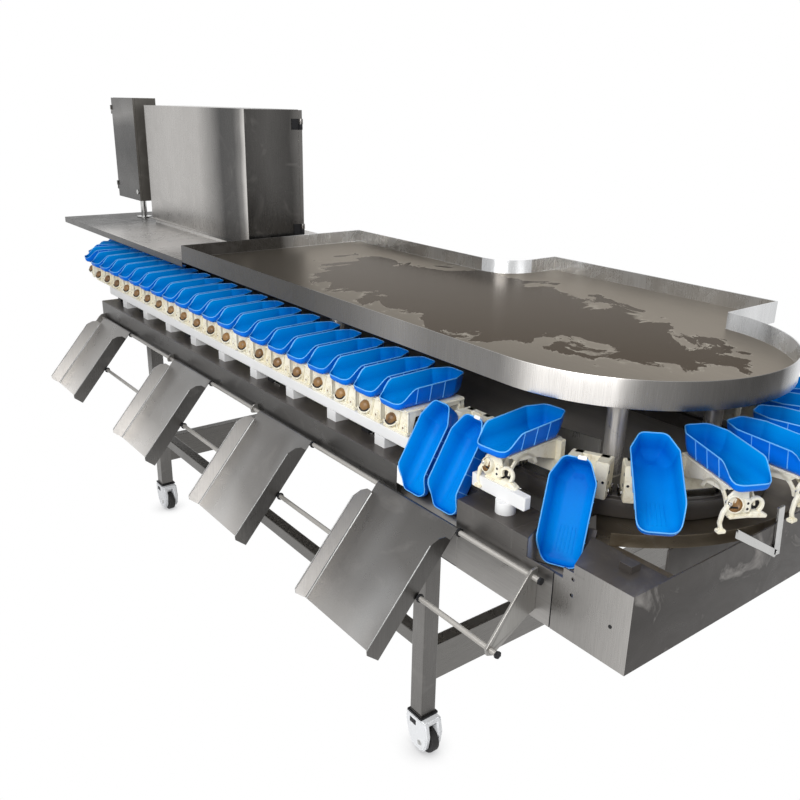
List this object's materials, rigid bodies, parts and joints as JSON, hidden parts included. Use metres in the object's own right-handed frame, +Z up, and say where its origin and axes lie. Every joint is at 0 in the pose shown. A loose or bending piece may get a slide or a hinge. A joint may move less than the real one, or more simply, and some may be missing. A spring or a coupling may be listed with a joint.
{
  "type": "fruit and vegetable grading machine",
  "caption": "Wheeled stainless grading line: a loop of tipping scoop trays round a sorting table, with side chutes, an electrical cabinet and a control box.",
  "frame": {"origin": "on the floor under the middle of the machine's box", "axes": "+X along the machine to the rounded loading end, +Z up, trays on both Y sides"},
  "size_m": [3.9846, 1.6892, 1.7],
  "materials": {
    "stainless": "brushed stainless sheet",
    "bright_steel": "bright plated steel",
    "white_plastic": "white low-friction plastic",
    "carrier_plastic": "ivory moulded plastic",
    "blue_plastic": "bright blue moulded plastic",
    "black_plastic": "black moulded plastic",
    "caster_housing": "white coated steel",
    "tyre": "black rubber",
    "cast_grey": "cast housing, grey"
  },
  "bodies": {
    "frame": {"side_pan_left": "stainless", "side_pan_right": "stainless", "front_box": "stainless", "rear_plate": "stainless", "cross_tubes": "stainless", "legs": "stainless", "stretchers": "stainless", "rear_arms": "stainless", "rails": "white_plastic", "rail_blocks": "white_plastic", "front_turn": "stainless", "inner_deck": "stainless", "rear_turn": "stainless", "chain_guide": "stainless", "upper_deck": "stainless", "deck_posts": "stainless", "table": "stainless", "table_posts": "stainless", "cabinet_shell": "stainless", "hinges": "black_plastic", "control_box": "stainless", "control_post": "bright_steel", "chute_rods": "stainless", "rod_plates": "stainless", "rod_clips": "black_plastic", "gearmotor": "cast_grey", "trip_units": "black_plastic", "weigh_units": "stainless", "bolts": "bright_steel", "caster_plates": "black_plastic", "chain": "bright_steel", "carriers": "carrier_plastic", "trays": "blue_plastic", "tray_a": "blue_plastic", "tray_d": "blue_plastic"},
    "tray_b": {"tray_b": "blue_plastic"},
    "tray_c": {"tray_c": "blue_plastic"},
    "tray_e": {"tray_e": "blue_plastic"},
    "tray_f": {"tray_f": "blue_plastic"},
    "chute_left_1": {"chute_left_1": "stainless"},
    "chute_left_2": {"chute_left_2": "stainless"},
    "chute_left_3": {"chute_left_3": "stainless"},
    "chute_left_4": {"chute_left_4": "stainless"},
    "chute_right_1": {"chute_right_1": "stainless"},
    "chute_right_2": {"chute_right_2": "stainless"},
    "chute_right_3": {"chute_right_3": "stainless"},
    "chute_right_4": {"chute_right_4": "stainless"},
    "cabinet_door": {"cabinet_door": "stainless"},
    "cabinet_latch": {"cabinet_latch": "bright_steel"},
    "control_door": {"control_door": "stainless"},
    "control_lock": {"control_lock": "bright_steel"},
    "caster_fork_front_left": {"caster_fork_front_left": "caster_housing"},
    "caster_wheel_front_left": {"caster_wheel_front_left": "tyre"},
    "caster_fork_front_right": {"caster_fork_front_right": "caster_housing"},
    "caster_wheel_front_right": {"caster_wheel_front_right": "tyre"},
    "caster_fork_rear_left": {"caster_fork_rear_left": "caster_housing"},
    "caster_wheel_rear_left": {"caster_wheel_rear_left": "tyre"},
    "caster_fork_rear_right": {"caster_fork_rear_right": "caster_housing"},
    "caster_wheel_rear_right": {"caster_wheel_rear_right": "tyre"},
    "drive_sprocket": {"drive_sprocket": "bright_steel"}
  },
  "joints": [
    {"name": "tray_b_tip", "type": "hinge", "parent": "frame", "child": "tray_b", "pos_m": [1.22, -0.371, 0.868], "axis": [1, 0, 0], "range_deg": [-58, 0]},
    {"name": "tray_c_tip", "type": "hinge", "parent": "frame", "child": "tray_c", "pos_m": [1.34, -0.371, 0.868], "axis": [1, 0, 0], "range_deg": [-58, 0]},
    {"name": "tray_e_tip", "type": "hinge", "parent": "frame", "child": "tray_e", "pos_m": [1.58679, -0.33624, 0.868], "axis": [0.9063, 0.4226, 0], "range_deg": [-63, 0]},
    {"name": "tray_f_tip", "type": "hinge", "parent": "frame", "child": "tray_f", "pos_m": [1.69234, -0.26234, 0.868], "axis": [0.7071, 0.7071, 0], "range_deg": [-26, 0]},
    {"name": "chute_left_1_lift", "type": "hinge", "parent": "frame", "child": "chute_left_1", "pos_m": [1.263, -0.5825, 0.752], "axis": [-1, 0, 0], "range_deg": [0, 70]},
    {"name": "chute_left_2_lift", "type": "hinge", "parent": "frame", "child": "chute_left_2", "pos_m": [0.612, -0.5825, 0.752], "axis": [-1, 0, 0], "range_deg": [0, 70]},
    {"name": "chute_left_3_lift", "type": "hinge", "parent": "frame", "child": "chute_left_3", "pos_m": [-0.068, -0.5825, 0.752], "axis": [-1, 0, 0], "range_deg": [0, 70]},
    {"name": "chute_left_4_lift", "type": "hinge", "parent": "frame", "child": "chute_left_4", "pos_m": [-0.85, -0.5825, 0.752], "axis": [-1, 0, 0], "range_deg": [0, 70]},
    {"name": "chute_right_1_lift", "type": "hinge", "parent": "frame", "child": "chute_right_1", "pos_m": [1.263, 0.5825, 0.752], "axis": [1, 0, 0], "range_deg": [0, 70]},
    {"name": "chute_right_2_lift", "type": "hinge", "parent": "frame", "child": "chute_right_2", "pos_m": [0.612, 0.5825, 0.752], "axis": [1, 0, 0], "range_deg": [0, 70]},
    {"name": "chute_right_3_lift", "type": "hinge", "parent": "frame", "child": "chute_right_3", "pos_m": [-0.068, 0.5825, 0.752], "axis": [1, 0, 0], "range_deg": [0, 70]},
    {"name": "chute_right_4_lift", "type": "hinge", "parent": "frame", "child": "chute_right_4", "pos_m": [-0.85, 0.5825, 0.752], "axis": [1, 0, 0], "range_deg": [0, 70]},
    {"name": "cabinet_door_swing", "type": "hinge", "parent": "frame", "child": "cabinet_door", "pos_m": [-0.487, 0.154, 1.39], "axis": [0, 0, -1], "range_deg": [0, 90]},
    {"name": "cabinet_latch_turn", "type": "hinge", "parent": "cabinet_door", "child": "cabinet_latch", "pos_m": [-1.53, 0.164, 1.39], "axis": [0, 1, 0], "range_deg": [0, 90]},
    {"name": "control_door_swing", "type": "hinge", "parent": "frame", "child": "control_door", "pos_m": [-1.968, -0.13, 1.445], "axis": [0, 0, -1], "range_deg": [0, 100]},
    {"name": "control_lock_turn", "type": "hinge", "parent": "control_door", "child": "control_lock", "pos_m": [-1.676, -0.13, 1.236], "axis": [0, -1, 0], "range_deg": [0, 90]},
    {"name": "caster_swivel_front_left", "type": "hinge", "parent": "frame", "child": "caster_fork_front_left", "pos_m": [1.27, -0.545, 0.101], "axis": [0, 0, 1], "continuous": true},
    {"name": "caster_roll_front_left", "type": "hinge", "parent": "caster_fork_front_left", "child": "caster_wheel_front_left", "pos_m": [1.296, -0.545, 0.0375], "axis": [0, 1, 0], "continuous": true},
    {"name": "caster_swivel_front_right", "type": "hinge", "parent": "frame", "child": "caster_fork_front_right", "pos_m": [1.27, 0.545, 0.101], "axis": [0, 0, 1], "continuous": true},
    {"name": "caster_roll_front_right", "type": "hinge", "parent": "caster_fork_front_right", "child": "caster_wheel_front_right", "pos_m": [1.296, 0.545, 0.0375], "axis": [0, 1, 0], "continuous": true},
    {"name": "caster_swivel_rear_left", "type": "hinge", "parent": "frame", "child": "caster_fork_rear_left", "pos_m": [-0.53, -0.545, 0.101], "axis": [0, 0, 1], "continuous": true},
    {"name": "caster_roll_rear_left", "type": "hinge", "parent": "caster_fork_rear_left", "child": "caster_wheel_rear_left", "pos_m": [-0.504, -0.545, 0.0375], "axis": [0, 1, 0], "continuous": true},
    {"name": "caster_swivel_rear_right", "type": "hinge", "parent": "frame", "child": "caster_fork_rear_right", "pos_m": [-0.53, 0.545, 0.101], "axis": [0, 0, 1], "continuous": true},
    {"name": "caster_roll_rear_right", "type": "hinge", "parent": "caster_fork_rear_right", "child": "caster_wheel_rear_right", "pos_m": [-0.504, 0.545, 0.0375], "axis": [0, 1, 0], "continuous": true},
    {"name": "drive_turn", "type": "hinge", "parent": "frame", "child": "drive_sprocket", "pos_m": [0.52, 0.23817, 0.78], "axis": [0, 0, 1], "continuous": true}
  ]
}
